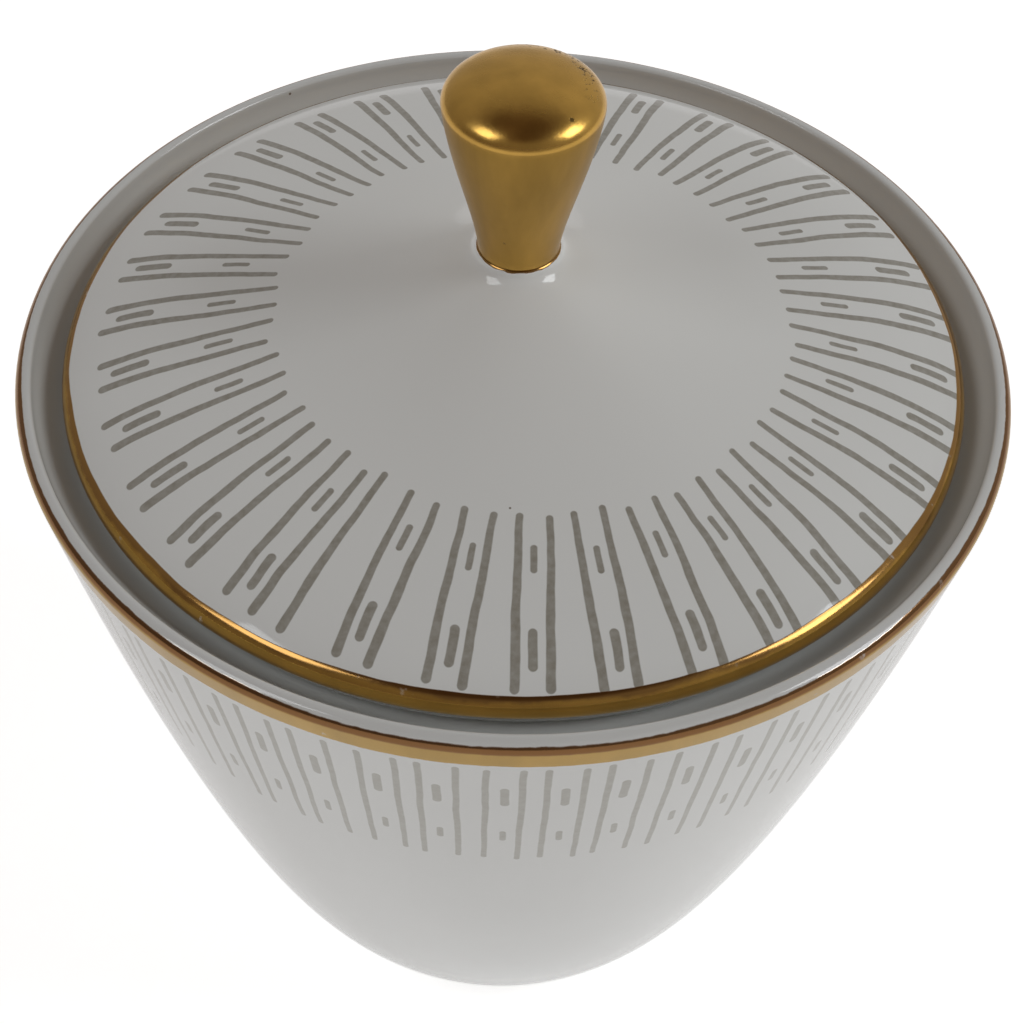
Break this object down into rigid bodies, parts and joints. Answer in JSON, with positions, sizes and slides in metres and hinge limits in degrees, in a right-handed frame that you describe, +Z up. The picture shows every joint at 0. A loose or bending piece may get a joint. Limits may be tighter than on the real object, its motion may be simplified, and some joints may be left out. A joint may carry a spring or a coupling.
{
  "type": "sugar bowl",
  "caption": "Round tapered porcelain sugar bowl on a foot ring, with a low conical lift-off lid that rests on an inner ledge and a tapered gilded knob.",
  "frame": {"origin": "centre of the foot ring's resting plane", "axes": "+Z up along the bowl's axis; the bowl is round, so X and Y are free"},
  "size_m": [0.1, 0.1, 0.1173],
  "materials": {
    "bowl_glaze": "glossy white glaze, gilded lip and a printed band of grey-brown strokes below it",
    "lid_glaze": "glossy white glaze, gilded edge and a printed ring of grey-brown radial strokes",
    "knob_gilding": "burnished gilding over glazed porcelain, with small worn specks"
  },
  "bodies": {
    "bowl": {"bowl": "bowl_glaze"},
    "lid": {"lid": "lid_glaze", "knob": "knob_gilding"}
  },
  "joints": [
    {"name": "lid_lift", "type": "slide", "parent": "bowl", "child": "lid", "axis": [0, 0, 1], "range_m": [0, 0.06]}
  ]
}
